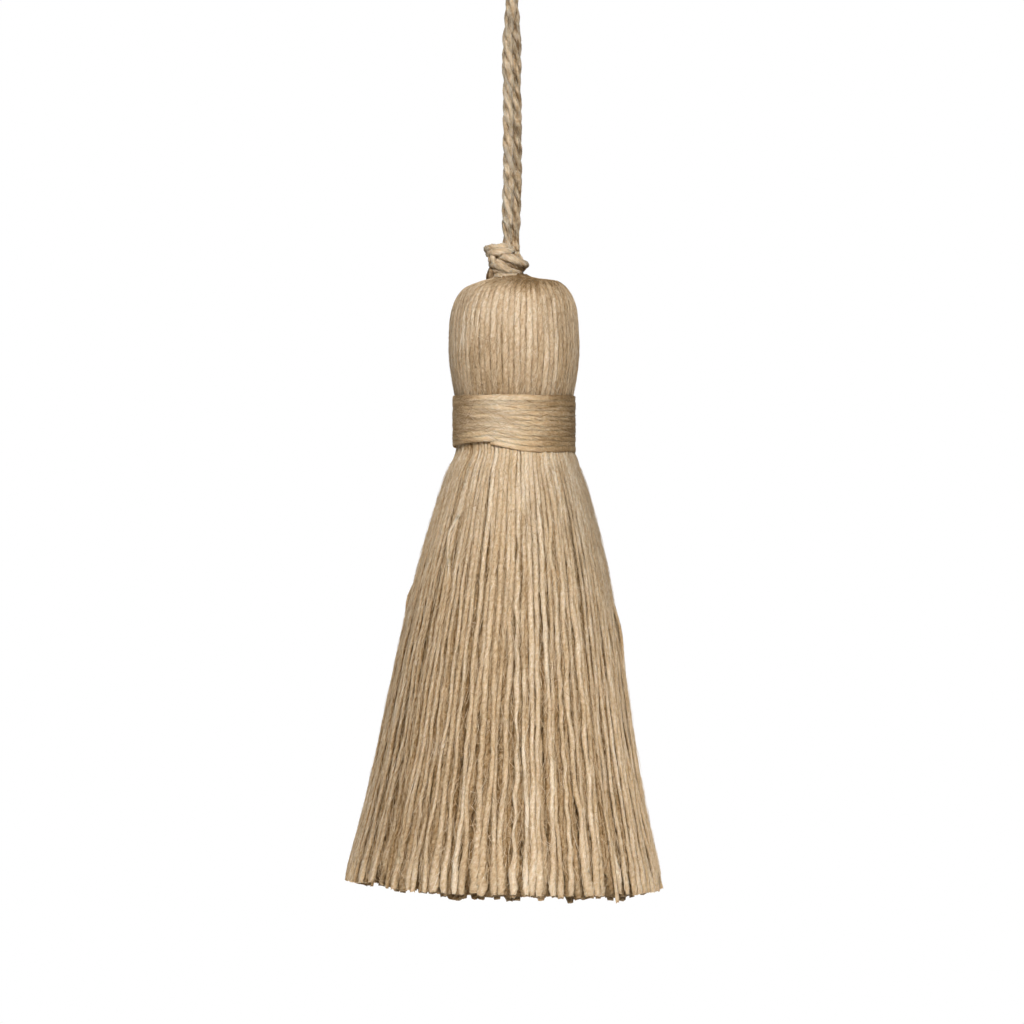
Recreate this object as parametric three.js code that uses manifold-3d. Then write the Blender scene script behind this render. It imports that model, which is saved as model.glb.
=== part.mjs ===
// A jute key tassel as it hangs: a doubled three-ply cord with its knot, a rounded head of yarn,
// a bound neck and a flared skirt of cut yarn. Millimetres, +Z up, the front faces -Y.
// The origin is the inside of the cord loop's crown, where the hook or key bears.
import * as THREE from "three";
import { mergeVertices } from "three/addons/utils/BufferGeometryUtils.js";
import Module from "manifold-3d";

const wasm = await Module();
wasm.setup();

// Driving dimensions
const clearance = 0.3; // between two pieces that touch
const loopDrop = 84; // hook to the top of the knot
const knotHeight = 8.5;
const headHeight = 29.7;
const bindingHeight = 14.3;
const skirtLength = 107.5; // binding to the cut ends
const axisShift = 0.5; // the head hangs this far to the right of the cord
const neckRadius = 13.9; // yarn squeezed by the binding
const bindingRadius = 15.4;
const cordDiameter = 2.7;
const cordPitch = 13; // length of one full turn of the plies

// Levels that follow from them
const knotTop = -loopDrop;
const crownLevel = knotTop - knotHeight;
const bindingTop = crownLevel - headHeight;
const bindingBottom = bindingTop - bindingHeight;

// Outline of the head, from its crown down to the binding. shift moves a row to the right.
const headProfile = [
  { drop: 0, radius: 5.4, shift: 1.1 },
  { drop: 0.9, radius: 9.7, shift: 1.1 },
  { drop: 2.75, radius: 12.9, shift: 0.8 },
  { drop: 6, radius: 15.2, shift: 0.6 },
  { drop: 11, radius: 16.1, shift: axisShift },
  { drop: 19, radius: 16.3, shift: axisShift },
  { drop: 25, radius: 15.7, shift: axisShift },
  { drop: headHeight - clearance, radius: 14.9, shift: axisShift },
];
const headRibs = 56; // yarns that lie side by side around the head
const ribDepth = 0.45;

// Outline of the skirt, from the binding down: it flares, and its middle drifts to the left.
const skirtProfile = [
  { drop: 0, radius: 15.5, shift: axisShift },
  { drop: 12, radius: 19.6, shift: 0.6 },
  { drop: 27, radius: 23.5, shift: 0.2 },
  { drop: 42, radius: 26.8, shift: -0.3 },
  { drop: 57, radius: 29.6, shift: -0.8 },
  { drop: 72, radius: 32.2, shift: -1.3 },
  { drop: 87, radius: 35.2, shift: -1.7 },
  { drop: 102, radius: 38.7, shift: -2.1 },
  { drop: 114, radius: 41, shift: -2.3 },
];

// Layers of strands from the outside in. reach is the share of the skirt's radius that a layer keeps.
const strandLayers = [
  { reach: 1, count: 92, steps: 4, longer: 0 },
  { reach: 0.87, count: 58, steps: 3, longer: 0.6 },
  { reach: 0.7, count: 34, steps: 2, longer: 1 },
  { reach: 0.5, count: 20, steps: 2, longer: 1 },
  { reach: 0.28, count: 8, steps: 2, longer: 0.6 },
];
const strandFill = 0.78; // share of the room beside its neighbours that a strand takes
const strandWidest = 3.2;
const strandSway = 0.09; // sideways wander, as a share of the same room
const strandWave = 4; // radians of that wander from root to end
const strandSetBack = 0.9; // how far an outer strand may lie behind the outline at its end
const strandUneven = 1.2; // how far the cut ends differ
const hemTilt = 1.1; // how much longer the skirt is at the right than in the middle
const rootDepth = 0.6; // below the binding, where the strands begin

// The fused top of the bundle that the strands part from. fill is its share of the skirt's radius.
const rootProfile = [
  { drop: 6, fill: 0.965 },
  { drop: 22, fill: 0.78 },
  { drop: 27, fill: 0 },
];
const rootSegments = 32;
const neckOverlap = 2; // how far the neck runs up into the head

// The binding: turns of yarn, with the lowest ones lifted at the left of the front.
const bindingTurns = 11;
const bindingGroove = 0.38;
const bindingSegments = 32;
const bindingLift = { height: 1.6, angle: -2.35, spread: 0.75 };

// Turns of cord in the knot, from the top. tilt raises a turn's right side.
const knotTurns = [
  { drop: 2.1, shift: -2.9, radius: 2.8, tilt: 0.1 },
  { drop: 4.4, shift: -0.75, radius: 3.7, tilt: -0.28 },
  { drop: 6.3, shift: -1.35, radius: 3.6, tilt: -0.16 },
];
const knotTwists = 2; // full turns of the plies in one turn of the knot
const knotSegments = 18;

// Inside of the knot, which fills its turns. The legs of the cord land on its top.
const knotCore = [
  { drop: clearance, radius: 2.8, shift: -0.9 },
  { drop: 1.4, radius: 3.3, shift: -1.5 },
  { drop: 3.2, radius: 4.2, shift: -0.9 },
  { drop: 6.6, radius: 4.4, shift: -0.7 },
  { drop: knotHeight - clearance, radius: 4.2, shift: -1.4 },
];
const knotCoreSides = 14;

// One ply of the cord's section: two shoulders and the groove beside them.
const cordPlies = 3;
const plySection = [
  { turn: -30, reach: 1 },
  { turn: 30, reach: 1 },
  { turn: 60, reach: 0.72 },
];
const cordColumns = cordPlies * plySection.length;
const stepsPerPitch = 9;

// Route of the doubled cord: up the front leg from the knot, round the loop and down the back leg.
const cordRoute = [
  [-1.15, -1.3, -83.9],
  [-1.2, -1.25, -80],
  [-1.1, -1.15, -73],
  [-0.95, -1.0, -62],
  [-0.95, -0.95, -50],
  [-1.05, -1.05, -40],
  [-1.05, -1.05, -33],
  [-0.65, -1.35, -28],
  [-0.2, -1.75, -23.5],
  [0, -3.1, -18],
  [0, -5.0, -12.5],
  [0, -6.3, -7.5],
  [0, -6.1, -3],
  [0, -3.9, 0.3],
  [0, 0, 1.35],
  [0, 3.9, 0.3],
  [0, 6.1, -3],
  [0, 6.3, -7.5],
  [0, 5.0, -12.5],
  [0, 3.1, -18],
  [0.2, 1.75, -23.5],
  [0.65, 1.35, -28],
  [1.05, 1.05, -33],
  [1.05, 1.05, -40],
  [1.1, 1.15, -50],
  [1.2, 1.1, -62],
  [1.0, 1.15, -73],
  [0.75, 1.25, -80],
  [0.65, 1.2, -83.9],
];

// A repeatable number from -1 to 1 for each seed.
function uneven(seed) {
  const wave = Math.sin(seed * 12.9898) * 43758.5453;
  return 2 * (wave - Math.floor(wave)) - 1;
}

// One column of a table at a drop, in a straight line between its rows.
function readTable(table, column, drop) {
  const after = table.findIndex((row) => row.drop >= drop);
  if (after <= 0) return table[after === 0 ? 0 : table.length - 1][column];
  const low = table[after - 1];
  const high = table[after];
  const share = (drop - low.drop) / (high.drop - low.drop);
  return THREE.MathUtils.lerp(low[column], high[column], share);
}

// A closed geometry as a manifold solid.
function solidOf(geometry) {
  const bare = new THREE.BufferGeometry();
  bare.setAttribute("position", geometry.getAttribute("position"));
  bare.setIndex(geometry.index);
  const merged = mergeVertices(bare, 1e-4);
  const triVerts = [];
  const index = merged.index.array;
  for (let i = 0; i < index.length; i += 3) {
    const [a, b, c] = index.slice(i, i + 3);
    if (a !== b && b !== c && c !== a) triVerts.push(a, b, c);
  }
  const mesh = new wasm.Mesh({
    numProp: 3,
    vertProperties: merged.getAttribute("position").array,
    triVerts: new Uint32Array(triVerts),
  });
  return new wasm.Manifold(mesh);
}

function geometryOf(solid) {
  const mesh = solid.getMesh();
  const geometry = new THREE.BufferGeometry();
  geometry.setAttribute("position", new THREE.BufferAttribute(mesh.vertProperties, 3));
  geometry.setIndex(new THREE.BufferAttribute(mesh.triVerts, 1));
  geometry.computeVertexNormals();
  return geometry;
}

function joined(solids) {
  return wasm.Manifold.union(solids);
}

// The outside of a solid, without the small hollows that its parts close off between them.
function filled(solid) {
  return joined(solid.decompose().filter((shell) => shell.volume() > 0));
}

// Moves each point of a geometry to where place sends it.
function reshaped(geometry, place) {
  const position = geometry.getAttribute("position");
  const point = new THREE.Vector3();
  for (let i = 0; i < position.count; i++) {
    point.fromBufferAttribute(position, i);
    const moved = place(point);
    position.setXYZ(i, moved.x, moved.y, moved.z);
  }
  return geometry;
}

// A closed rod. Its points are placed by the angle round it, the share along it, and 0 for the middle
// of an end or 1 for the outside.
function rod(sides, steps, place) {
  const unit = new THREE.CylinderGeometry(1, 1, 1, sides, steps);
  return reshaped(unit, (p) => place(Math.atan2(p.x, p.z), 0.5 + p.y, Math.hypot(p.x, p.z)));
}

// A closed ring. Its points are placed by the angle round it and their number in its section.
function ring(segments, sectionPoints, place) {
  const unit = new THREE.TorusGeometry(2, 1, sectionPoints, segments);
  return reshaped(unit, (p) => {
    const inSection = Math.atan2(p.z, Math.hypot(p.x, p.y) - 2) / (2 * Math.PI);
    const number = Math.round((inSection + 1) * sectionPoints) % sectionPoints;
    return place(Math.atan2(p.y, p.x), number);
  });
}

// A lathe about the upright axis. Its outline runs from the bottom up.
function turned(outline, segments) {
  const points = outline.map(([radius, level]) => new THREE.Vector2(radius, level));
  return new THREE.LatheGeometry(points, segments).rotateX(Math.PI / 2);
}

// A closed lathe from a table of drops, radii and shifts below a level.
function turnedTable(table, top, segments) {
  const wall = table.map(({ drop, radius }) => [radius, top - drop]).reverse();
  const lowest = wall[0][1];
  const highest = wall[wall.length - 1][1];
  return turned([[0, lowest], ...wall, [0, highest]], segments);
}

// Moves each level of a geometry sideways by its table's shift.
function shifted(geometry, table, top) {
  return reshaped(geometry, (p) => p.setX(p.x + readTable(table, "shift", top - p.z)));
}

// Angle and reach of one column of the twisted cord's section.
function plyColumn(column) {
  const ply = Math.floor(column / plySection.length);
  const { turn, reach } = plySection[column % plySection.length];
  const angle = (2 * Math.PI * ply) / cordPlies + THREE.MathUtils.degToRad(turn);
  return { angle, reach: (reach * cordDiameter) / 2 };
}

// The cord follows its route, and each ply winds round it with an S twist.
function cordGeometry() {
  const route = new THREE.CatmullRomCurve3(cordRoute.map((p) => new THREE.Vector3(...p)));
  const length = route.getLength();
  const steps = Math.round((length / cordPitch) * stepsPerPitch);
  const frames = route.computeFrenetFrames(steps, false);
  return rod(cordColumns, steps, (around, along, outside) => {
    const step = Math.round(along * steps);
    const turn = ((around + 2 * Math.PI) / (2 * Math.PI)) * cordColumns;
    const { angle, reach } = plyColumn(Math.round(turn) % cordColumns);
    const twisted = angle - (2 * Math.PI * along * length) / cordPitch;
    return route
      .getPointAt(step / steps)
      .addScaledVector(frames.normals[step], outside * reach * Math.cos(twisted))
      .addScaledVector(frames.binormals[step], outside * reach * Math.sin(twisted));
  });
}

// One tilted turn of the knot, with the same plies as the cord.
function knotTurnGeometry({ drop, shift, radius, tilt }) {
  return ring(knotSegments, cordColumns, (around, column) => {
    const { angle, reach } = plyColumn(column);
    const twisted = angle + knotTwists * around;
    const fromAxis = radius + reach * Math.cos(twisted);
    const rise = radius * Math.cos(around) * Math.tan(tilt);
    const level = knotTop - drop + rise + reach * Math.sin(twisted);
    return new THREE.Vector3(
      shift + fromAxis * Math.cos(around),
      fromAxis * Math.sin(around),
      level,
    );
  });
}

function knotGeometry() {
  const core = shifted(turnedTable(knotCore, knotTop, knotCoreSides), knotCore, knotTop);
  const turns = knotTurns.map((turn) => solidOf(knotTurnGeometry(turn)));
  return geometryOf(filled(joined([solidOf(core), ...turns])));
}

// The head: every second column of the lathe is drawn in, so that the yarns stand out as ribs.
function headSolid() {
  const columns = 2 * headRibs;
  const head = turnedTable(headProfile, crownLevel, columns);
  reshaped(head, (p) => {
    const radius = Math.hypot(p.x, p.y);
    const column = Math.round((Math.atan2(p.y, p.x) / (2 * Math.PI)) * columns);
    const depth = column % 2 === 0 ? 0 : ribDepth * Math.min(1, radius / neckRadius);
    const keep = radius > 0 ? 1 - depth / radius : 1;
    return p.set(p.x * keep, p.y * keep, p.z);
  });
  return solidOf(shifted(head, headProfile, crownLevel));
}

// The bound neck and the fused top of the skirt that the strands grow from.
function rootSolid() {
  const rootTop = bindingBottom - clearance;
  const neckTop = bindingTop + neckOverlap;
  const cone = rootProfile.map(({ drop, fill }) => [
    fill * readTable(skirtProfile, "radius", drop),
    bindingBottom - drop,
  ]);
  const outline = [
    ...cone.reverse(),
    [bindingRadius - clearance, rootTop],
    [neckRadius, rootTop],
    [neckRadius, neckTop],
    [0, neckTop],
  ];
  return solidOf(turned(outline, rootSegments).translate(axisShift, 0, 0));
}

// One strand: a three-sided rod that follows the skirt's outline, with its ridge outside.
function strandSolid(layer, layerNumber, number) {
  const { reach, count, steps, longer } = layer;
  const seed = 1000 * layerNumber + number;
  const slot = (2 * Math.PI) / count;
  const base = slot * (number + 0.5 * (layerNumber % 2));
  const end = skirtLength + longer + hemTilt * Math.cos(base) + strandUneven * uneven(seed + 0.1);
  const setBack = strandSetBack * (0.5 + 0.5 * uneven(seed + 0.3));
  const sway = strandSway * slot * uneven(seed + 0.5);
  const phase = Math.PI * uneven(seed + 0.7);
  return solidOf(
    rod(3, steps, (around, along, outside) => {
      const share = 1 - along;
      const drop = rootDepth + share * (end - rootDepth);
      const outline = readTable(skirtProfile, "radius", drop);
      const width = Math.min(strandWidest, strandFill * slot * reach * outline);
      const corner = width / Math.sqrt(3);
      const middle = reach * outline - corner - setBack * share;
      const angle = base + sway * Math.sin(phase + strandWave * share);
      const outward = middle + outside * corner * Math.cos(around);
      const sideways = outside * corner * Math.sin(around);
      return new THREE.Vector3(
        readTable(skirtProfile, "shift", drop) + outward * Math.cos(angle) - sideways * Math.sin(angle),
        outward * Math.sin(angle) + sideways * Math.cos(angle),
        bindingBottom - drop,
      );
    }),
  );
}

// Head, neck and skirt are one bundle of yarn.
function yarnGeometry() {
  const strands = strandLayers.flatMap((layer, layerNumber) =>
    Array.from({ length: layer.count }, (_, number) => strandSolid(layer, layerNumber, number)),
  );
  return geometryOf(joined([headSolid(), rootSolid(), ...strands]));
}

// Section of the binding, from its lower inner corner round the ridges of yarn to its upper inner corner.
const bindingSection = [
  { reach: neckRadius + clearance, share: 0 },
  ...Array.from({ length: 2 * bindingTurns + 1 }, (_, i) => ({
    reach: bindingRadius - (i % 2 === 0 ? bindingGroove : 0),
    share: i / (2 * bindingTurns),
  })),
  { reach: neckRadius + clearance, share: 1 },
];

function bindingGeometry() {
  return ring(bindingSegments, bindingSection.length, (around, number) => {
    const { reach, share } = bindingSection[number];
    const away = Math.atan2(Math.sin(around - bindingLift.angle), Math.cos(around - bindingLift.angle));
    const lift = bindingLift.height * Math.exp(-((away / bindingLift.spread) ** 2));
    const level = THREE.MathUtils.lerp(bindingBottom + lift, bindingTop, share);
    return new THREE.Vector3(axisShift + reach * Math.cos(around), reach * Math.sin(around), level);
  });
}

function piece(name, geometry, color) {
  const material = new THREE.MeshStandardMaterial({ color, roughness: 0.9, metalness: 0 });
  const mesh = new THREE.Mesh(geometry, material);
  mesh.name = name;
  return mesh;
}

const tassel = new THREE.Group();
tassel.add(
  piece("hanging_cord", cordGeometry(), 0xb39c80),
  piece("cord_knot", knotGeometry(), 0xb89e7c),
  piece("tassel_yarn", yarnGeometry(), 0xc4a985),
  piece("neck_binding", bindingGeometry(), 0xbfa37e),
);

export default tassel;
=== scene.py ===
import math

import bpy
import numpy as np
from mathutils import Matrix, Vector


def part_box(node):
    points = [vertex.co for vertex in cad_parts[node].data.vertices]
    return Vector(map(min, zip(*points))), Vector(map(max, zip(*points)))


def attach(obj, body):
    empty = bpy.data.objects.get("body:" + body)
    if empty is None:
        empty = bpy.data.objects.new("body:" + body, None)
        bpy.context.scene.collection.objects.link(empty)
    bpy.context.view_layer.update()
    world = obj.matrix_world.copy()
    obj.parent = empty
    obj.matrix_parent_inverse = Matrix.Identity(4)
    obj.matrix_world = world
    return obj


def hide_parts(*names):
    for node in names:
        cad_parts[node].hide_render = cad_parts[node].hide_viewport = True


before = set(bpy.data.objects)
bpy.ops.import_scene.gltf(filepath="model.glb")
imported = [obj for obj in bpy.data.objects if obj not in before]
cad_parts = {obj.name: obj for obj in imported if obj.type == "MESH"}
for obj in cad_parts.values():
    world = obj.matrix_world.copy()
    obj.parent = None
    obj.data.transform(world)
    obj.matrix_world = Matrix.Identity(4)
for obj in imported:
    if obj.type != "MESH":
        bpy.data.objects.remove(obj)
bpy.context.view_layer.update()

scene = bpy.context.scene
mm = 0.001
fullTurn = 2 * math.pi
allOver = (200, 300)  # drops of a patch that never fades
lineSteps = 24
leastReach = 0.6  # how near the middle a yarn may come, millimetres
# how quickly the painted groove shade gives way to the ridge
ridgeSharpness = 1.5
patternSpan = (90, 5)  # how far apart tubes may lie on the fibre pattern
fibreWrap = 0.04  # how much of the pattern's width a loose fibre shows
fibreFlat = 0.4  # how thick a loose fibre is for its width
fibreWidths = (0.6, 1.4)
wispRows = 5
wispBend = 4
fuzzRadius = 4


def levelOf(node, end):
    # a solid's bottom (0) or top (1), millimetres
    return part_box(node)[end].z / mm


knotTop = levelOf("cord_knot", 1)
crownLevel = levelOf("tassel_yarn", 1)
bindingTop = levelOf("neck_binding", 1)
bindingBottom = levelOf("neck_binding", 0)

camera = dict(distance=1.2, frameWidth=0.256, height=-0.15125, sensor=36.0)


def makeCamera():
    data = bpy.data.cameras.new("photoCamera")
    data.sensor_width = camera["sensor"]
    data.lens = camera["sensor"] * camera["distance"] / camera["frameWidth"]
    lookout = bpy.data.objects.new("photoCamera", data)
    lookout.location = (0, -camera["distance"], camera["height"])
    lookout.rotation_euler = (math.pi / 2, 0, 0)
    scene.collection.objects.link(lookout)
    scene.camera = lookout


makeCamera()


def ease(low, high, value):
    share = np.clip((value - low) / (high - low), 0, 1)
    return share * share * (3 - 2 * share)


def blend(start, end, share):
    return start + (end - start) * share


def unit(vectors):
    return vectors / np.linalg.norm(vectors, axis=-1, keepdims=True)


def waves(rng, count, share, size, beats, grow=0.0):
    # one wave along each yarn, its height, beat and start drawn at random
    height = rng.normal(0, size, (count, 1))
    beat = rng.uniform(*beats, (count, 1))
    phase = rng.uniform(0, fullTurn, (count, 1))
    return height * np.sin(fullTurn * beat * share + phase) * share ** grow


def waved(value, rng, count, share, kinds):
    # adds waves, each of a height, beats and perhaps a growth
    for kind in kinds:
        value = value + waves(rng, count, share, *kind)
    return value


def lengthAlong(line):
    steps = np.linalg.norm(np.diff(line, axis=0), axis=1)
    return np.concatenate([[0], np.cumsum(steps)])


def smoothLine(points, rows):
    # a rounded line through the points, its rows evenly spaced along it
    points = np.asarray(points, float)
    p = np.vstack([2 * points[:1] - points[1:2], points, 2 * points[-1:] - points[-2:-1]])
    step = np.linspace(0, 1, lineSteps, endpoint=False)[:, None]
    runs = []
    for a, b, c, d in zip(p[:-3], p[1:-2], p[2:-1], p[3:]):
        square = 2 * a - 5 * b + 4 * c - d
        cube = 3 * b - a - 3 * c + d
        runs.append(b + ((c - a) * step + square * step ** 2 + cube * step ** 3) / 2)
    line = np.vstack(runs + [points[-1:]])
    walked = lengthAlong(line)
    stops = np.linspace(0, walked[-1], rows)
    return np.stack([np.interp(stops, walked, axis) for axis in line.T], axis=1), stops


def shellOf(profile, top, rows=240):
    # a turned outline from (drop, radius, shift) rows, with the way it faces
    points = [(radius, top - drop, shift) for drop, radius, shift in profile]
    line, walked = smoothLine(points, rows)
    slope = unit(np.gradient(line[:, :2], axis=0))
    return dict(
        walked=walked,
        radius=line[:, 0],
        height=line[:, 1],
        shift=line[:, 2],
        outR=-slope[:, 1],
        outZ=slope[:, 0],
        drop=top - line[:, 1],
    )


def readShell(shell, key, walked):
    return np.interp(walked, shell["walked"], shell[key])


def onShell(shell, walked, angle, sunk, level=False):
    # places below or level with a turned outline, and the ways sideways and outwards there
    outR = readShell(shell, "outR", walked)
    outZ = readShell(shell, "outZ", walked)
    inwards, down = (sunk, 0) if level else (sunk * outR, sunk * outZ)
    reach = np.maximum(readShell(shell, "radius", walked) - inwards, leastReach)
    height = readShell(shell, "height", walked) - down
    cosine, sine = np.cos(angle), np.sin(angle)
    middle = readShell(shell, "shift", walked)
    path = np.stack([middle + reach * cosine, reach * sine, height + 0 * angle], axis=-1)
    wide = np.stack([-sine, cosine, 0 * angle], axis=-1)
    out = np.stack([outR * cosine, outR * sine, outZ + 0 * angle], axis=-1)
    return path, wide, out


def newBag():
    lists = ("verts", "quads", "tris", "quadUv", "triUv", "tone", "lit", "smooth")
    return dict({name: [] for name in lists}, size=0)


def roundAngles(sides, turn):
    return fullTurn * np.arange(sides) / sides + turn[..., None]


def tubeRings(path, wide, deep, halfWide, halfDeep, turn, relief):
    # rings of points round each path: (tubes, rows, sides, 3)
    angle = roundAngles(relief.shape[-1], turn)
    across = (np.cos(angle) * halfWide[..., None] * relief)[..., None] * wide[:, :, None, :]
    out = (np.sin(angle) * halfDeep[..., None] * relief)[..., None] * deep[:, :, None, :]
    return path[:, :, None, :] + across + out


def addTubes(bag, rng, rings, along, tone, lit, hollow=0.0, tips=None):
    # skins the rings and closes both ends; a loose fibre is drawn to its tips
    count, rows, sides = rings.shape[:3]
    index = bag["size"] + np.arange(count * rows * sides).reshape(count, rows, sides)
    beside = np.roll(index, -1, axis=2)
    quads = np.stack([index[:, :-1], beside[:, :-1], beside[:, 1:], index[:, 1:]], axis=-1)
    startHub = bag["size"] + count * rows * sides + np.arange(count)[:, None] + np.zeros(sides, int)
    endHub = startHub + count
    startTris = np.stack([startHub, beside[:, 0], index[:, 0]], axis=-1)
    endTris = np.stack([endHub, index[:, -1], beside[:, -1]], axis=-1)
    smooth = tips is None
    if smooth:
        endPoint = rings[:, -1].mean(axis=1)
        endPoint = endPoint + unit(rings[:, -2].mean(axis=1) - endPoint) * hollow
        tips = rings[:, 0].mean(axis=1), endPoint
    wrap = 1 if smooth else fibreWrap

    # each tube lies on its own patch of the fibre pattern
    u = wrap * np.arange(sides + 1) / sides + rng.uniform(0, patternSpan[0], (count, 1))
    v = along * mm + rng.uniform(0, patternSpan[1], (count, 1))
    edges = u[:, None, :-1], u[:, None, 1:], v[:, :-1, None], v[:, 1:, None]
    u0, u1, v0, v1 = np.broadcast_arrays(*edges)
    quadUv = np.stack([u0, v0, u1, v0, u1, v1, u0, v1], axis=-1)
    ends = []
    for end, a, b in ((0, u1[:, 0], u0[:, 0]), (-1, u0[:, 0], u1[:, 0])):
        rim = np.broadcast_to(v[:, end, None], (count, sides))
        ends.append(np.stack([(a + b) / 2, rim + mm / 2, a, rim, b, rim], axis=-1))

    bag["verts"].append(np.concatenate([rings.reshape(-1, 3), *tips]) * mm)
    bag["quads"].append(quads.reshape(-1, 4))
    bag["tris"].append(np.concatenate([startTris, endTris]).reshape(-1, 3))
    bag["quadUv"].append(quadUv.reshape(-1))
    bag["triUv"].append(np.concatenate(ends).reshape(-1))
    for name, own in (("tone", tone), ("lit", lit)):
        hubs = own[:, 0].mean(axis=1), own[:, -1].mean(axis=1)
        bag[name].append(np.concatenate([own.reshape(-1), *hubs]))
    bag["smooth"].append((quads.size // 4, 2 * count * sides, smooth))
    bag["size"] += count * rows * sides + 2 * count


def makePiece(name, bag, material):
    quads = np.concatenate(bag["quads"])
    tris = np.concatenate(bag["tris"])
    verts = np.concatenate(bag["verts"])
    starts = np.concatenate([4 * np.arange(len(quads)), 4 * len(quads) + 3 * np.arange(len(tris))])
    corners = np.concatenate([quads.reshape(-1), tris.reshape(-1)])
    mesh = bpy.data.meshes.new(name)
    mesh.vertices.add(len(verts))
    mesh.vertices.foreach_set("co", verts.reshape(-1))
    mesh.loops.add(len(corners))
    mesh.loops.foreach_set("vertex_index", corners)
    mesh.polygons.add(len(starts))
    mesh.polygons.foreach_set("loop_start", starts)
    shaded = [np.full(part[kind], part[2]) for kind in (0, 1) for part in bag["smooth"]]
    mesh.polygons.foreach_set("use_smooth", np.concatenate(shaded))
    fibreMap = mesh.uv_layers.new(name="fibreMap")
    fibreMap.data.foreach_set("uv", np.concatenate(bag["quadUv"] + bag["triUv"]))
    for key in ("tone", "lit"):
        spread = mesh.attributes.new(key, "FLOAT", "POINT")
        spread.data.foreach_set("value", np.concatenate(bag[key]))
    mesh.update(calc_edges=True)
    mesh.materials.append(material)
    piece = bpy.data.objects.new(name, mesh)
    scene.collection.objects.link(piece)
    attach(piece, "root")
    print("made", name, len(quads) * 2 + len(tris), "triangles")
    return piece


def setInputs(node, values):
    for socket, value in values.items():
        node.inputs[socket].default_value = value


def juteMaterial(name, look):
    material = bpy.data.materials.new(name)
    material.use_nodes = True
    nodes = material.node_tree.nodes
    link = material.node_tree.links.new
    nodes.clear()
    output = nodes.new("ShaderNodeOutputMaterial")
    skin = nodes.new("ShaderNodeBsdfPrincipled")
    link(skin.outputs["BSDF"], output.inputs["Surface"])
    place = nodes.new("ShaderNodeUVMap")
    place.uv_map = "fibreMap"
    # tone carries painted shade and highlight as well as the yarn's own colour
    tone = nodes.new("ShaderNodeAttribute")
    tone.attribute_name = "tone"
    lit = nodes.new("ShaderNodeAttribute")
    lit.attribute_name = "lit"

    def fibres(scale, detail, reach):
        # noise drawn out along the yarn, shifting the tone
        stretch = nodes.new("ShaderNodeMapping")
        stretch.inputs["Scale"].default_value = scale
        link(place.outputs["UV"], stretch.inputs["Vector"])
        noise = nodes.new("ShaderNodeTexNoise")
        setInputs(noise, {"Scale": 1.0, "Detail": detail, "Roughness": look["noiseRough"]})
        link(stretch.outputs["Vector"], noise.inputs["Vector"])
        shift = nodes.new("ShaderNodeMapRange")
        low, high = look["noiseRange"]
        setInputs(shift, {"From Min": low, "From Max": high, "To Min": -reach, "To Max": reach})
        link(noise.outputs["Fac"], shift.inputs["Value"])
        return shift.outputs["Result"]

    def added(one, other):
        total = nodes.new("ShaderNodeMath")
        total.operation = "ADD"
        link(one, total.inputs[0])
        link(other, total.inputs[1])
        return total.outputs["Value"]

    strands = fibres(look["strands"], look["strandDetail"], look["strandReach"])
    hairs = fibres(look["hairs"], look["hairDetail"], look["hairReach"])
    texture = added(strands, hairs)
    ramp = nodes.new("ShaderNodeValToRGB")
    stops = ramp.color_ramp.elements
    for spot in look["spots"][2:]:
        stops.new(spot)
    for stop, spot, colour in zip(stops, look["spots"], look["colours"]):
        stop.position = spot
        stop.color = (*colour, 1)
    link(added(tone.outputs["Fac"], texture), ramp.inputs["Fac"])
    # the lit attribute dims the colour as painted shade
    dimmed = nodes.new("ShaderNodeVectorMath")
    dimmed.operation = "SCALE"
    link(ramp.outputs["Color"], dimmed.inputs[0])
    link(lit.outputs["Fac"], dimmed.inputs["Scale"])
    link(dimmed.outputs["Vector"], skin.inputs["Base Color"])
    bump = nodes.new("ShaderNodeBump")
    setInputs(bump, {"Strength": look["bump"], "Distance": look["bumpDepth"] * mm})
    link(texture, bump.inputs["Height"])
    link(bump.outputs["Normal"], skin.inputs["Normal"])
    setInputs(skin, {
        "Roughness": look["rough"],
        "Specular IOR Level": look["shine"],
        "Specular Tint": look["shineTint"],
        "Subsurface Weight": look["soft"],
        "Subsurface Radius": look["softTint"],
        "Subsurface Scale": look["softDepth"] * mm,
    })
    return material


yarnLook = dict(
    # how fine across and along the yarn, and how far they shift the tone
    strands=(5, 160, 1),
    strandDetail=3.0,
    strandReach=0.13,
    hairs=(6, 1000, 1),
    hairDetail=4.0,
    hairReach=0.31,
    noiseRough=0.6,
    noiseRange=(0.25, 0.75),
    spots=(0.0, 0.3, 0.55, 0.8, 1.0),
    colours=[
        (0.19, 0.108, 0.044), (0.352, 0.234, 0.12), (0.5, 0.363, 0.222),
        (0.61, 0.474, 0.325), (0.725, 0.608, 0.46),
    ],
    bump=0.8,
    bumpDepth=0.5,
    rough=0.5,
    shine=0.04,
    shineTint=(1.0, 0.88, 0.7, 1),
    soft=0.7,
    softDepth=0.5,
    softTint=(1.0, 0.8, 0.6),
)
cordLook = dict(yarnLook, strands=(6, 150, 1), strandReach=0.3, hairReach=0.3, colours=[
    (0.165, 0.105, 0.055), (0.345, 0.245, 0.145), (0.49, 0.37, 0.245),
    (0.585, 0.46, 0.32), (0.68, 0.56, 0.415),
], rough=0.55, shine=0.3)
bindingLook = dict(yarnLook, strandReach=0.14, hairReach=0.17, softDepth=0.7, shine=0.25, colours=[
    (0.19, 0.112, 0.05), (0.372, 0.245, 0.125), (0.555, 0.398, 0.237),
    (0.665, 0.515, 0.347), (0.765, 0.64, 0.48),
])
headLook = dict(yarnLook, rough=0.6, shine=0.12, colours=[
    (0.185, 0.115, 0.056), (0.347, 0.238, 0.132), (0.5, 0.365, 0.233),
    (0.61, 0.476, 0.332), (0.725, 0.608, 0.46),
])
fibreLook = dict(yarnLook, soft=0.0, shine=0.0, bump=0.0)

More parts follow.
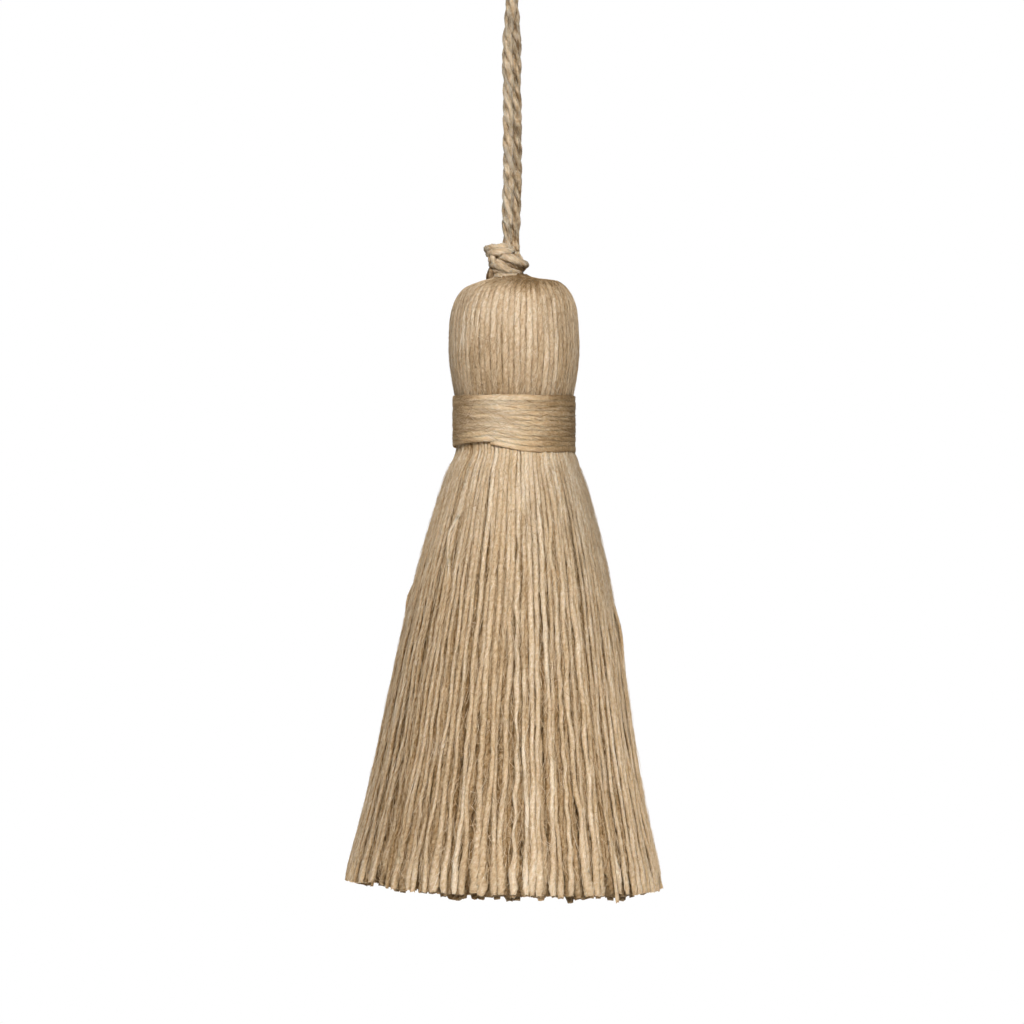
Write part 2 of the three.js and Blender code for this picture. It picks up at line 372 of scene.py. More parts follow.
yarnMaterial = juteMaterial("juteYarn", yarnLook)
headMaterial = juteMaterial("juteHead", headLook)
cordMaterial = juteMaterial("juteCord", cordLook)
fibreMaterial = juteMaterial("juteFibre", fibreLook)
bindingMaterial = juteMaterial("bindingYarn", bindingLook)


def skinRun(bag, rng, run, sides, bunches, swell=0.0, ragged=0.0, hollow=0.0):
    # covers a run of yarns with tubes, with painted shade darkening the sides that face away, so the
    # grooves are darker than the ridge
    count, rows = run["along"].shape
    facing = np.maximum(np.sin(roundAngles(sides, run["turn"])), 0) ** ridgeSharpness
    tone = run["tone"][..., None] - run["groove"] * (1 - facing)
    # the bunches of fibre round a yarn keep their place in the twist
    uneven = rng.normal(0, bunches, (count, 1, sides))
    relief = 1 + uneven * (1 + swell * np.ones((count, rows)))[..., None]
    shape = [run[key] for key in ("path", "wide", "out", "halfWide", "halfDeep", "turn")]
    rings = tubeRings(*shape, relief)
    rings[:, -1, :, 2] += rng.uniform(-ragged, ragged, (count, sides))
    lit = np.repeat(run["lit"][..., None], sides, axis=2)
    addTubes(bag, rng, rings, run["along"], tone, lit, hollow)


def atRows(values, yarn, row):
    # reads a run's values at fractional rows of chosen yarns
    lower = np.clip(np.floor(row).astype(int), 0, values.shape[1] - 2)
    share = row - lower
    if values.ndim == 3:
        share = share[..., None]
    return blend(values[yarn[:, None], lower], values[yarn[:, None], lower + 1], share)


def addFibres(bag, rng, path, away, half, along, tone, lit):
    # thin flat fibres, lying with their flat side away from the yarn
    heading = unit(np.gradient(path, axis=1) + 1e-9)
    plain = np.ones((*half.shape, 3))
    rings = tubeRings(path, away, np.cross(heading, away), half * fibreFlat, half, 0 * half, plain)
    tone = np.repeat(tone[:, 1:-1, None], 3, axis=2)
    lit = np.repeat(lit[:, 1:-1, None], 3, axis=2)
    addTubes(bag, rng, rings[:, 1:-1], along[:, 1:-1], tone, lit, tips=(path[:, 0], path[:, -1]))


def addWisps(bag, rng, run, look):
    # short fibres lying round the outer face of the yarns, along their twist
    count = look["count"]
    yarns, yarnRows = run["along"].shape
    yarn = rng.integers(0, yarns, count)
    total = run["along"][yarn, -1][:, None]
    length = rng.uniform(*look["length"], (count, 1))
    low, high = look["between"]
    middle = total * rng.uniform(low, high, (count, 1))
    share = np.linspace(0, 1, wispRows)[None]
    along = np.clip(middle + length * (share - 0.5), 0, total * high)
    row = along / total * (yarnRows - 1)
    keys = ("path", "wide", "out", "halfWide", "halfDeep", "tone", "lit")
    path, wide, out, halfWide, halfDeep, tone, lit = [atRows(run[key], yarn, row) for key in keys]
    face = math.pi / 2 + rng.uniform(-look["round"], look["round"], (count, 1))
    lay = fullTurn / look["pitch"] * rng.normal(1, look["stray"], (count, 1))
    angle = face + (along - middle) * lay
    lift = rng.uniform(*look["lift"], (count, 1))
    lift = lift + look["ends"] * rng.uniform(0, 1, (count, 1)) * (2 * share - 1) ** wispBend
    away = np.cos(angle)[..., None] * wide + np.sin(angle)[..., None] * out
    path = path + (np.cos(angle) * (halfWide + lift))[..., None] * wide
    path = path + (np.sin(angle) * (halfDeep + lift))[..., None] * out
    half = look["thick"] / 2 * rng.uniform(*fibreWidths, (count, 1)) + 0 * share
    tone = tone + rng.normal(look["paler"], look["mixed"], (count, 1))
    addFibres(bag, rng, path, away, half, along, tone, lit)


def turnFrom(angle, at):
    # the shorter way round
    return np.angle(np.exp(1j * (angle - at)))


def near(angle, at, spread):
    # one at a place on the turn, falling to nought on both sides of it
    return np.exp(-(turnFrom(angle, at) / spread) ** 2)


def patched(value, angle, drop, patches):
    # less in patches: where round, how wide, by how much, at which drop all and at which none
    for at, spread, less, most, gone in patches:
        value = value - less * near(angle, at, spread) * (1 - ease(most, gone, drop))
    return value


def addFuzz(bag, rng, shell, look, piece):
    # loose fibres lying on a turned outline, with the piece's tone patches of painted shade and
    # highlight and its dimmer patches of painted shade
    count, rows = look["count"], look["rows"]
    share = np.linspace(0, 1, rows)[None]
    length = rng.uniform(*look["length"], (count, 1))
    swing = rng.normal(look["heading"], look["swing"], (count, 1))
    curl = rng.normal(0, look["curl"], (count, 1))
    low, high = look["between"]
    walked = shell["walked"][-1] * rng.uniform(low, high, (count, 1))
    walked = walked + length * (np.cos(swing) * share - np.sin(swing) * curl * share ** 2)
    walked = np.clip(walked, 0, shell["walked"][-1] * look["stop"])
    aside = length * (np.sin(swing) * share + np.cos(swing) * curl * share ** 2)
    start, stop = look["round"]
    base = blend(start, stop, rng.uniform(0, 1, (count, 1)) ** look["gather"])
    angle = base + aside / np.maximum(readShell(shell, "radius", walked), fuzzRadius)
    sunk = rng.uniform(*look["sunk"], (count, 1))
    sunk = sunk - look["lift"] * np.sin(math.pi * share) * rng.uniform(0, 1, (count, 1))
    path, _, out = onShell(shell, walked, angle, sunk)
    half = look["thick"] / 2 * rng.uniform(*fibreWidths, (count, 1)) + 0 * share
    tone = look["tone"] + rng.normal(0, look["mixed"], (count, 1)) + 0 * share
    drop = readShell(shell, "drop", walked)
    tone = patched(tone, angle, drop, piece["shadeAndTone"])
    lit = patched(1 + 0 * angle, angle, drop, piece["shaded"])
    addFibres(bag, rng, path, out, half, length * share, tone, lit)


def carriedAxes(line):
    # side directions carried along a line without twisting about it
    run = unit(np.gradient(line, axis=0))
    side = np.zeros_like(run)
    start = np.array([1.0, 0, 0]) if abs(run[0, 0]) < 0.9 else np.array([0, 1.0, 0])
    side[0] = unit(start - run[0] * start.dot(run[0]))
    for i in range(1, len(line)):
        side[i] = unit(side[i - 1] - run[i] * side[i - 1].dot(run[i]))
    return run, side, np.cross(run, side)


def ropeRun(rng, line, rope, phase=0.0):
    # the plies of a twisted rope laid round its line
    run, side, other = carriedAxes(line)
    walked = lengthAlong(line)
    count = rope["plies"]
    lumps = rope["lumps"]
    turn = phase + fullTurn * (np.arange(count)[:, None] / count - walked / rope["pitch"])
    away = np.cos(turn)[..., None] * side + np.sin(turn)[..., None] * other
    share = walked[None] / walked[-1]
    half = rope["ply"] / 2
    for beats in rope["swellBeats"]:
        half = half * (1 + waves(rng, count, share, lumps, beats))
    bowed = 1 + waves(rng, count, share, lumps, rope["bowBeats"])
    mottle = waved(0, rng, count, share, [rope["toneWave"], (lumps, rope["toneBeats"])])
    return dict(
        path=line + away * (bowed * (rope["diameter"] - rope["ply"]) / 2)[..., None],
        wide=np.cross(away, run[None]),
        out=away,
        halfWide=half,
        halfDeep=half,
        turn=np.broadcast_to(fullTurn * walked / rope["fibrePitch"], turn.shape),
        along=np.broadcast_to(walked, turn.shape),
        tone=rope["tone"] + rng.normal(0, rope["toneSpread"], (count, 1)) + mottle,
        groove=rope["groove"],
        lit=np.ones(turn.shape),
    )


# what the cord and the knot have in common
ropeMake = dict(
    plies=3, fibrePitch=9.0, sides=9, bunches=0.05, swellBeats=[(6, 14), (17, 43)],
    bowBeats=(9, 27), toneWave=(0.07, (3, 9)), toneBeats=(19, 47), toneSpread=0.06,
)
ropeWisps = dict(round=1.6, pitch=9.0, paler=0.04, mixed=0.18)

cord = dict(
    ropeMake,
    ply=1.5,
    diameter=2.75,
    pitch=13.0,
    rows=400,
    tone=0.64,
    groove=0.26,
    # painted shade darkens the leg behind, fully from backTo of the length on
    backShade=0.24, backFrom=0.45, backTo=0.6,
    lumps=0.09,
    seed=3,
    # the solid's route in millimetres, up the front leg and down the one behind
    route=[
        (-1.15, -1.3, -83.9), (-1.2, -1.25, -80), (-1.1, -1.15, -73), (-0.95, -1.0, -62),
        (-0.95, -0.95, -50), (-1.05, -1.05, -40), (-1.05, -1.05, -33), (-0.65, -1.35, -28),
        (-0.2, -1.75, -23.5), (0, -3.1, -18), (0, -5.0, -12.5), (0, -6.3, -7.5), (0, -6.1, -3),
        (0, -3.9, 0.3), (0, 0, 1.35), (0, 3.9, 0.3), (0, 6.1, -3), (0, 6.3, -7.5), (0, 5.0, -12.5),
        (0, 3.1, -18), (0.2, 1.75, -23.5), (0.65, 1.35, -28), (1.05, 1.05, -33), (1.05, 1.05, -40),
        (1.1, 1.15, -50), (1.2, 1.1, -62), (1.0, 1.15, -73), (0.75, 1.25, -80), (0.65, 1.2, -83.9),
    ],
    # both ends, hidden in the knot
    tucked=[(-1.1, -0.7, -87.0), (0.6, 1.0, -86.0)],
    wisps=dict(
        ropeWisps, count=1700, length=(3, 9), between=(0.02, 0.98), stray=0.9, lift=(-0.05, 0.08),
        ends=0.35, thick=0.14,
    ),
)


def makeCord():
    rng = np.random.default_rng(cord["seed"])
    line, walked = smoothLine(cord["tucked"][:1] + cord["route"] + cord["tucked"][1:], cord["rows"])
    run = ropeRun(rng, line, cord)
    behind = ease(cord["backFrom"], cord["backTo"], run["along"] / walked[-1])
    run["tone"] = run["tone"] - cord["backShade"] * behind
    bag = newBag()
    skinRun(bag, rng, run, cord["sides"], cord["bunches"])
    addWisps(bag, rng, run, cord["wisps"])
    piece = makePiece("hangingCord", bag, cordMaterial)
    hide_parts("hanging_cord")
    print("cord length", round(walked[-1], 1), "mm")


makeCord()

knot = dict(
    ropeMake,
    ply=1.95,
    diameter=3.3,
    pitch=60.0,
    start=-0.42,
    rowsPerTurn=80,
    tone=0.76,
    groove=0.2,
    lumps=0.04,
    seed=5,
    # drop below the knot's top, sideways shift, half width, half depth and rise to the right
    turns=[
        (1.6, -3.15, 2.45, 3.3, 0.05),
        (4.25, 0.0, 2.6, 3.9, -0.42),
        (6.0, -1.9, 2.45, 3.2, -0.5),
        (7.55, -1.1, 2.95, 3.2, -0.1),
    ],
    # share of a turn that passes into the next, and half depth where both ends go in
    passing=0.25, inside=0.8,
    # painted shade dims it towards both sides: where it starts and where it is full
    endShade=0.2, ends=[(1.6, 4.2), (-5.0, -6.6)],
    shortRows=40,
    # short lengths of cord, each with its tone
    shorts=[
        # the back leg runs out over the right of the second turn
        (0.76, [
            (0.65, 1.2, -84.4), (0.6, 1.0, -85.6), (0.75, 0.6, -86.9),
            (1.6, 0.3, -88.3), (2.4, 0.3, -89.6), (2.6, 0.6, -90.6),
        ]),
        # and a fold of it goes down into the crown at the lower left, its dark tone a painted shade
        (0.08, [
            (-3.4, 2.0, -88.8), (-4.4, 0.7, -89.8), (-4.85, -0.5, -91.0),
            (-5.2, -1.2, -92.3), (-5.2, -1.2, -93.8),
        ]),
        # at the left the first turn passes down into the last
        (0.72, [
            (-3.8, 1.2, -85.4), (-4.7, -1.1, -86.4), (-4.75, -2.4, -87.5),
            (-4.5, -1.9, -88.9), (-3.6, 0.8, -90.4),
        ]),
        # two lengths fill the middle, seen from above
        (0.5, [(0.3, -1.0, -86.7), (0.3, -0.8, -88.2), (0.0, 0.0, -90.5)]),
        (0.5, [(-3.2, 0.2, -86.0), (-3.1, 0.0, -87.4), (-2.6, 0.0, -89.5)]),
    ],
    wisps=dict(
        ropeWisps, count=300, length=(3, 7), between=(0.03, 0.97), stray=0.6, lift=(-0.05, 0.05),
        ends=0.2, thick=0.17,
    ),
)


def makeKnot():
    # one line wound round, each turn passing into the next behind the knot
    rng = np.random.default_rng(knot["seed"])
    turns = np.array(knot["turns"])
    early = knot["passing"]
    late = 1 - early
    points = []
    for i, own in enumerate(turns):
        before = turns[max(i - 1, 0)]
        after = turns[min(i + 1, len(turns) - 1)]
        for share in np.linspace(0, 1, knot["rowsPerTurn"], endpoint=False):
            turn = own
            if share < early:
                turn = blend((before + own) / 2, own, ease(0, early, share))
            elif share > late:
                turn = blend(own, (own + after) / 2, ease(late, 1, share))
            drop, shift, across, deep, rise = turn
            if i == 0:
                deep = blend(knot["inside"], deep, ease(0, early, share))
            if i == len(turns) - 1:
                deep = blend(deep, knot["inside"], ease(late, 1, share))
            angle = math.pi / 2 + fullTurn * share
            x = math.cos(angle) * across
            points.append((shift + x, math.sin(angle) * deep, knotTop - drop + x * rise))
    line = smoothLine(points, len(points))[0]
    run = ropeRun(rng, line, knot, knot["start"])
    for start, full in knot["ends"]:
        run["lit"] = run["lit"] - knot["endShade"] * ease(start, full, run["path"][..., 0])
    bag = newBag()
    skinRun(bag, rng, run, knot["sides"], knot["bunches"])
    addWisps(bag, rng, run, knot["wisps"])
    for tone, points in knot["shorts"]:
        line = smoothLine(points, knot["shortRows"])[0]
        rope = dict(knot, ply=cord["ply"], diameter=cord["diameter"], tone=tone)
        skinRun(bag, rng, ropeRun(rng, line, rope), knot["sides"], knot["bunches"])
    piece = makePiece("cordKnot", bag, cordMaterial)
    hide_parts("cord_knot")


makeKnot()


def makeLayers(piece, makeLayer):
    layers = enumerate(piece["layers"].items())
    return [makeLayer(name, layer, piece["seed"] + i) for i, (name, layer) in layers]


# loose fibres all round, lying down along the yarns
fuzzMake = dict(rows=4, round=(0, fullTurn), gather=1.0, heading=0.0)

head = dict(
    seed=21,
    # drop below the crown, radius and sideways shift
    profile=[
        (-0.9, 3.8, -0.25), (-0.2, 4.9, -0.1), (0.35, 6.2, 0.5), (0.75, 8.3, 1.5),
        (1.15, 9.9, 1.85), (2.85, 12.8, 0.95), (6, 14.9, 0.7), (11, 16.0, 0.5),
        (19, 16.3, 0.5), (25, 15.7, 0.5), (29.4, 14.9, 0.5), (33, 14.2, 0.5),
    ],
    fibrePitch=24.0,
    bunches=0.06,
    overlap=1.5,  # a yarn's greatest width for its share of the round
    placeSpread=0.04,
    sunkWaves=[(0.12, (0.5, 1.5))],
    swayWaves=[(0.1, (0.6, 1.8)), (0.04, (3, 6))],
    swayRadius=6,
    swellWaves=[(0.07, (1, 3))],
    swellSpread=0.06,
    toneWaves=[(0.07, (1, 4))],
    toneSpread=0.09,
    grooveWaves=[(0.5, (1, 3))],
    # on the crown the yarns get painted shade, fainter painted groove shade and are flatter, up to
    # these radii
    crownShade=0.58, crownShaded=(9, 16), crownSmooth=(4, 13),
    crownFlat=0.4, crownFlattened=(4, 14),
    # and again above the binding, between these drops
    low=(15, 29), lowShade=0.14, lowSmooth=0.75, lowFlat=0.4,
    # tone patches: painted shade on the crown's front under the knot and lower down, painted highlight
    # on the upper front and on the crown's left; dimmer patches: painted shade at the sides
    shadeAndTone=[
        (-1.45, 0.45, 0.26, 2.5, 6), (-1.8, 0.35, -0.1, 9, 13), (-2.7, 0.6, -0.22, 1.5, 7),
        (-1.95, 0.45, 0.11, 22, 12),
    ],
    shaded=[
        (-0.3, 0.7, 0.1, *allOver), (-2.95, 0.7, 0.11, *allOver), (-2.95, 0.45, 0.15, 14, 5),
        (-0.25, 0.45, 0.17, 14, 5), (-1.1, 0.35, 0.1, 29, 22),
    ],
    layers={
        "headYarns": dict(
            count=66, rows=60, sides=8, sunk=0.0, width=1.55, deep=0.7, tone=0.67, groove=0.23,
        ),
        "headUnderlay": dict(
            count=60, rows=32, sides=5, sunk=0.4, width=1.8, deep=1.2, tone=0.45, groove=0.1,
        ),
    },
    wisps=dict(
        count=900, length=(6, 13), between=(0.16, 0.93), round=1.2, pitch=24.0, stray=0.4,
        lift=(-0.07, 0.04), ends=0.15, thick=0.24, paler=0.03, mixed=0.1,
    ),
    fuzz=dict(
        fuzzMake, count=4200, length=(2, 7), between=(0.2, 0.86), stop=0.93, swing=0.5, curl=0.25,
        sunk=(-0.1, 0.3), lift=0.1, thick=0.09, tone=0.58, mixed=0.18,
    ),
    crownFuzz=dict(
        fuzzMake, count=900, rows=5, length=(3, 7), between=(0.02, 0.24), stop=0.93, swing=0.3,
        curl=0.25, sunk=(0.0, 0.25), lift=0.03, thick=0.1, tone=0.42, mixed=0.14,
    ),
)
headShell = shellOf(head["profile"], crownLevel)


def makeHeadLayer(name, layer, seed):
    rng = np.random.default_rng(seed)
    count, rows = layer["count"], layer["rows"]
    share = np.linspace(0, 1, rows)[None]
    walked = headShell["walked"][-1] * share
    sunk = waved(layer["sunk"] + layer["deep"] / 2, rng, count, share, head["sunkWaves"])
    sway = waved(0, rng, count, share, head["swayWaves"])
    radius = readShell(headShell, "radius", walked)
    place = np.arange(count)[:, None] + rng.normal(0, head["placeSpread"], (count, 1))
    angle = fullTurn * place / count + sway / np.maximum(radius, head["swayRadius"])
    path, wide, out = onShell(headShell, walked, angle, sunk)
    swell = waved(1, rng, count, share, head["swellWaves"])
    swell = swell + rng.normal(0, head["swellSpread"], (count, 1))
    widest = head["overlap"] * (fullTurn * radius / count)
    tone = layer["tone"] + rng.normal(0, head["toneSpread"], (count, 1))
    tone = waved(tone, rng, count, share, head["toneWaves"])
    drop = readShell(headShell, "drop", walked)
    low = ease(*head["low"], drop)
    shade = head["crownShade"] * (1 - ease(*head["crownShaded"], radius)) + head["lowShade"] * low
    ribs = ease(*head["crownSmooth"], radius) * (1 - head["lowSmooth"] * low)
    flat = blend(head["crownFlat"], 1, ease(*head["crownFlattened"], radius))
    turn = fullTurn * walked / head["fibrePitch"] + rng.uniform(0, fullTurn, (count, 1))
    ribs = ribs * waved(1, rng, count, share, head["grooveWaves"])
    run = dict(
        path=path, wide=wide, out=out,
        halfWide=np.minimum(layer["width"], widest) / 2 * swell,
        halfDeep=layer["deep"] / 2 * swell * flat * (1 - head["lowFlat"] * low),
        turn=turn,
        along=np.broadcast_to(walked, angle.shape),
        tone=patched(tone - shade, angle, drop, head["shadeAndTone"]),
        lit=patched(1 + 0 * angle, angle, drop, head["shaded"]),
        groove=layer["groove"] * ribs[..., None],
    )
    bag = newBag()
    skinRun(bag, rng, run, layer["sides"], head["bunches"])
    piece = makePiece(name, bag, headMaterial)
    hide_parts("tassel_yarn")
    return run


def makeHead():
    runs = makeLayers(head, makeHeadLayer)
    rng = np.random.default_rng(head["seed"] - 1)
    bag = newBag()
    addWisps(bag, rng, runs[0], head["wisps"])
    addFuzz(bag, rng, headShell, head["fuzz"], head)
    addFuzz(bag, rng, headShell, head["crownFuzz"], head)
    makePiece("headFibres", bag, fibreMaterial)


makeHead()

binding = dict(
    seed=31,
    turns=11,
    rowsPerTurn=72,
    sides=8,
    radius=15.4,
    shift=0.5,
    width=1.9,
    deep=0.55,
    bunches=0.05,
    heightWaves=[(0.05, (1.2, 1.9)), (0.05, (4.2, 5.7))],
    radiusWaves=[(0.06, (2.3, 3.7)), (0.05, (5, 8))],
    swellWaves=[(0.06, (20, 30)), (0.05, (50, 70))],
    toneWaves=[(0.07, (15, 25)), (0.07, (40, 60))],
    # where round the neck each turn steps down to the next
    crossAt=1.6, crossSpan=0.5,
    # the lower edge is lifted at the left, spread wider to its left than to its right
    lift=1.6, liftAt=-1.97, liftSpread=(0.9, 0.36),
    # both ends go in under the turns, over these shares of a turn
    tuck=2.6, startOut=(-0.04, 0.06), endIn=(-0.08, 0.02),
    # the last turn lies hidden at the left and comes out from under the one above; painted shade
    # darkens it where hidden
    lastFrom=(-1, -0.9), outFrom=-2.3, outTo=-1.75, raised=0.35, hiddenShade=0.7, hiddenTuck=(0.2, 0.8),
    # painted shade darkens the yarn towards both sides, most at the right, and in patches along its
    # edges; one patch is paler
    shadeAndTone=[
        (-0.35, 0.86, 0.4, *allOver), (-2.95, 0.65, 0.31, *allOver), (-2.6, 0.45, 0.26, 15, 9),
        (-2.35, 0.35, 0.1, *allOver), (-1.85, 0.25, -0.08, *allOver), (-2.75, 0.6, 0.05, 1.2, 3.5),
        (-0.5, 0.6, 0.08, 1.2, 3.5), (-0.9, 0.35, 0.09, *allOver), (-1.2, 0.4, 0.1, 13, 9),
    ],
    # painted shade dims the right side
    shaded=[(-0.35, 0.86, 0.36, *allOver)],
    fibrePitch=36.0,
    tone=0.77,
    groove=0.16,
    wisps=dict(
        count=700, length=(6, 14), between=(0.01, 0.9), round=1.2, pitch=13.0, stray=0.5,
        lift=(-0.06, 0.03), ends=0.1, thick=0.2, paler=0.03, mixed=0.08,
    ),
    fuzz=dict(
        fuzzMake, count=700, rows=5, length=(4, 10), between=(0.05, 0.78), stop=0.8,
        heading=math.pi / 2, swing=0.2, curl=0.15, sunk=(-0.1, 0.2), lift=0.1, thick=0.09,
        tone=0.66, mixed=0.2,
    ),
    crossFuzz=dict(
        count=500, rows=5, length=(3, 7), between=(0.05, 0.7), stop=0.78, round=(-3.0, -1.6),
        gather=1.7, heading=math.pi / 2, swing=0.3, curl=0.3, sunk=(-0.1, 0.1), lift=0.08,
        thick=0.08, tone=0.72, mixed=0.2,
    ),
)


def makeBinding():
    # one yarn wound round the neck, stepping down a turn at the back
    rng = np.random.default_rng(binding["seed"])
    turns = binding["turns"]
    startTucked, startOut = binding["startOut"]
    endOut, endTucked = binding["endIn"]
    wound = np.linspace(startTucked, turns + endTucked, turns * binding["rowsPerTurn"])[None]
    angle = binding["crossAt"] + fullTurn * wound
    cosine, sine = np.cos(angle), np.sin(angle)
    nearest = np.round(wound)
    half = binding["crossSpan"] / fullTurn / 2
    stepped = nearest - 0.5 + ease(-half, half, wound - nearest)
    away = turnFrom(angle, binding["liftAt"])
    spread = np.where(away < 0, *binding["liftSpread"])
    lift = binding["lift"] * np.exp(-((away / spread) ** 2))
    span = bindingTop - bindingBottom - binding["width"] - lift
    height = bindingTop - binding["width"] / 2 - span * (stepped - 0.5) / (turns - 1)
    height = waved(height, rng, 1, wound, binding["heightWaves"])
    lastTurn = fullTurn * turns
    hidden = 1 - ease(binding["outFrom"] + lastTurn, binding["outTo"] + lastTurn, angle)
    hidden = hidden * ease(*binding["lastFrom"], wound - turns)
    height = height + binding["raised"] * hidden
    started = ease(startTucked, startOut, wound)
    ending = ease(turns + endOut, turns + endTucked, wound)
    tucked = np.maximum(1 - started + ending, ease(*binding["hiddenTuck"], hidden))
    radius = binding["radius"] - binding["deep"] / 2 - binding["tuck"] * tucked
    radius = waved(radius, rng, 1, wound, binding["radiusWaves"])
    path = np.stack([binding["shift"] + radius * cosine, radius * sine, height], axis=-1)
    walked = (angle - angle[:, :1]) * binding["radius"]
    share = walked / walked[0, -1]
    drop = bindingTop - height
    swell = waved(1, rng, 1, share, binding["swellWaves"])
    tone = waved(binding["tone"], rng, 1, share, binding["toneWaves"])
    run = dict(
        path=path,
        wide=np.stack([0 * angle, 0 * angle, 0 * angle + 1], axis=-1),
        out=np.stack([cosine, sine, 0 * angle], axis=-1),
        halfWide=binding["width"] / 2 * swell,
        halfDeep=binding["deep"] / 2 * swell,
        turn=fullTurn * walked / binding["fibrePitch"],
        along=walked,
        tone=patched(tone - binding["hiddenShade"] * hidden, angle, drop, binding["shadeAndTone"]),
        lit=patched(1 + 0 * angle, angle, drop, binding["shaded"]),
        groove=binding["groove"],
    )
    bag = newBag()
    skinRun(bag, rng, run, binding["sides"], binding["bunches"])
    piece = makePiece("neckBinding", bag, bindingMaterial)
    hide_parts("neck_binding")
    side = binding["radius"], binding["shift"]
    shell = shellOf([(0, *side), (bindingTop - bindingBottom, *side)], bindingTop)
    bag = newBag()
    addWisps(bag, rng, run, binding["wisps"])
    addFuzz(bag, rng, shell, binding["fuzz"], binding)
    addFuzz(bag, rng, shell, binding["crossFuzz"], binding)
    makePiece("bindingFibres", bag, fibreMaterial)


makeBinding()

# the ends that fill the skirt right through
fillMake = dict(
    rows=14, sides=5, sunk=(0.0, 0.0), width=1.9, flare=0.5, longer=0.5, ragged=0.5, sway=0.7,
    uneven=3.0, dive=0.3, tone=0.4, groove=0.1, shows=0, endShade=0.0,
)

